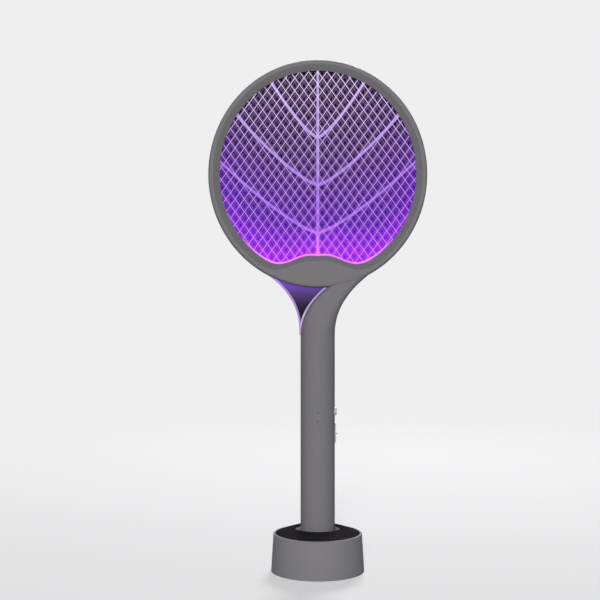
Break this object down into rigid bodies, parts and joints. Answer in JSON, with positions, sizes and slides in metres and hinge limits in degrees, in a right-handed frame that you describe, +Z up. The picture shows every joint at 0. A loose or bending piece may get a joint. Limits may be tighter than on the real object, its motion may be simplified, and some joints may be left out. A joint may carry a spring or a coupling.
{
  "type": "electric fly swatter",
  "caption": "Electric fly swatter with an oval netted head lit by violet lamps, a round handle with side controls, standing upright in a round charging stand.",
  "frame": {"origin": "centre of the stand's underside, on the surface it stands on", "axes": "+Z up along the handle, front of the head and handle towards -Y, button and slide switch towards +X"},
  "size_m": [0.2034, 0.0868, 0.475],
  "materials": {
    "grey_plastic": "satin, fine moulded texture",
    "dark_plastic": "satin",
    "pale_plastic": "gloss",
    "lilac_plastic": "satin, lit violet by the lamps",
    "violet_window": "translucent diffuser, lit from above",
    "light_guide": "clear light guide, lit",
    "net_steel": "bright wire, lit violet by the lamps",
    "circuit_board": "solder mask",
    "lamp_lens": "lit lamp lens",
    "brass": "plated",
    "steel": "zinc plated",
    "rubber": "matt",
    "battery_wrap": "film wrap on a metal can, aluminium's density stands for the cell's",
    "foam": "foam rubber",
    "lead_red": "insulated lead",
    "lead_black": "insulated lead",
    "component": "moulded case"
  },
  "bodies": {
    "stand": {"stand_shell": "grey_plastic", "stand_top": "dark_plastic", "stand_bottom": "dark_plastic", "foot_ring": "rubber", "socket_sleeve": "grey_plastic", "ballast": "steel", "stand_screw_1": "steel", "stand_screw_2": "steel", "stand_screw_3": "steel", "contact_board": "circuit_board", "charge_inlet": "steel", "pin_barrel_left": "brass", "pin_barrel_right": "brass"},
    "swatter": {"front_ring": "grey_plastic", "rear_ring": "grey_plastic", "handle_front_shell": "grey_plastic", "handle_rear_shell": "grey_plastic", "end_cap": "dark_plastic", "front_rib_frame": "lilac_plastic", "rear_rib_frame": "lilac_plastic", "lamp_window": "violet_window", "light_guide": "light_guide", "front_glow_strip": "light_guide", "rear_glow_strip": "light_guide", "indicator_upper": "light_guide", "indicator_lower": "light_guide", "front_guard_net": "net_steel", "rear_guard_net": "net_steel", "shock_grid": "net_steel", "lamp_board": "circuit_board", "control_board": "circuit_board", "head_lamp_1": "lamp_lens", "head_lamp_2": "lamp_lens", "head_lamp_3": "lamp_lens", "head_lamp_4": "lamp_lens", "head_lamp_5": "lamp_lens", "window_lamp_1": "lamp_lens", "window_lamp_2": "lamp_lens", "indicator_chip_upper": "lamp_lens", "indicator_chip_lower": "lamp_lens", "contact_pad_left": "brass", "contact_pad_right": "brass", "handle_screw_lower": "steel", "handle_screw_upper": "steel", "slide_switch": "steel", "battery_cell": "battery_wrap", "battery_collar_lower": "foam", "battery_collar_upper": "foam", "grid_lead": "lead_red", "guard_lead": "lead_black", "lamp_lead": "lead_black", "transformer": "component", "capacitor_left": "component", "capacitor_right": "component", "push_switch": "component"},
    "pin_left": {"charge_pin_left": "brass"},
    "pin_right": {"charge_pin_right": "brass"},
    "button": {"zap_button": "pale_plastic"},
    "slider": {"mode_slider": "pale_plastic"}
  },
  "joints": [
    {"name": "swatter_lift", "type": "slide", "parent": "stand", "child": "swatter", "axis": [0, 0, 1], "range_m": [0, 0.06]},
    {"name": "button_press", "type": "slide", "parent": "swatter", "child": "button", "axis": [-1, 0, 0], "range_m": [0, 0.001], "stiffness_N_per_m": 1500, "springref_m": -0.0003},
    {"name": "slider_move", "type": "slide", "parent": "swatter", "child": "slider", "axis": [0, 0, 1], "range_m": [-0.003, 0.003]},
    {"name": "pin_left_press", "type": "slide", "parent": "stand", "child": "pin_left", "axis": [0, 0, -1], "range_m": [0, 0.001], "stiffness_N_per_m": 300, "springref_m": -0.0005},
    {"name": "pin_right_press", "type": "slide", "parent": "stand", "child": "pin_right", "axis": [0, 0, -1], "range_m": [0, 0.001], "stiffness_N_per_m": 300, "springref_m": -0.0005}
  ]
}
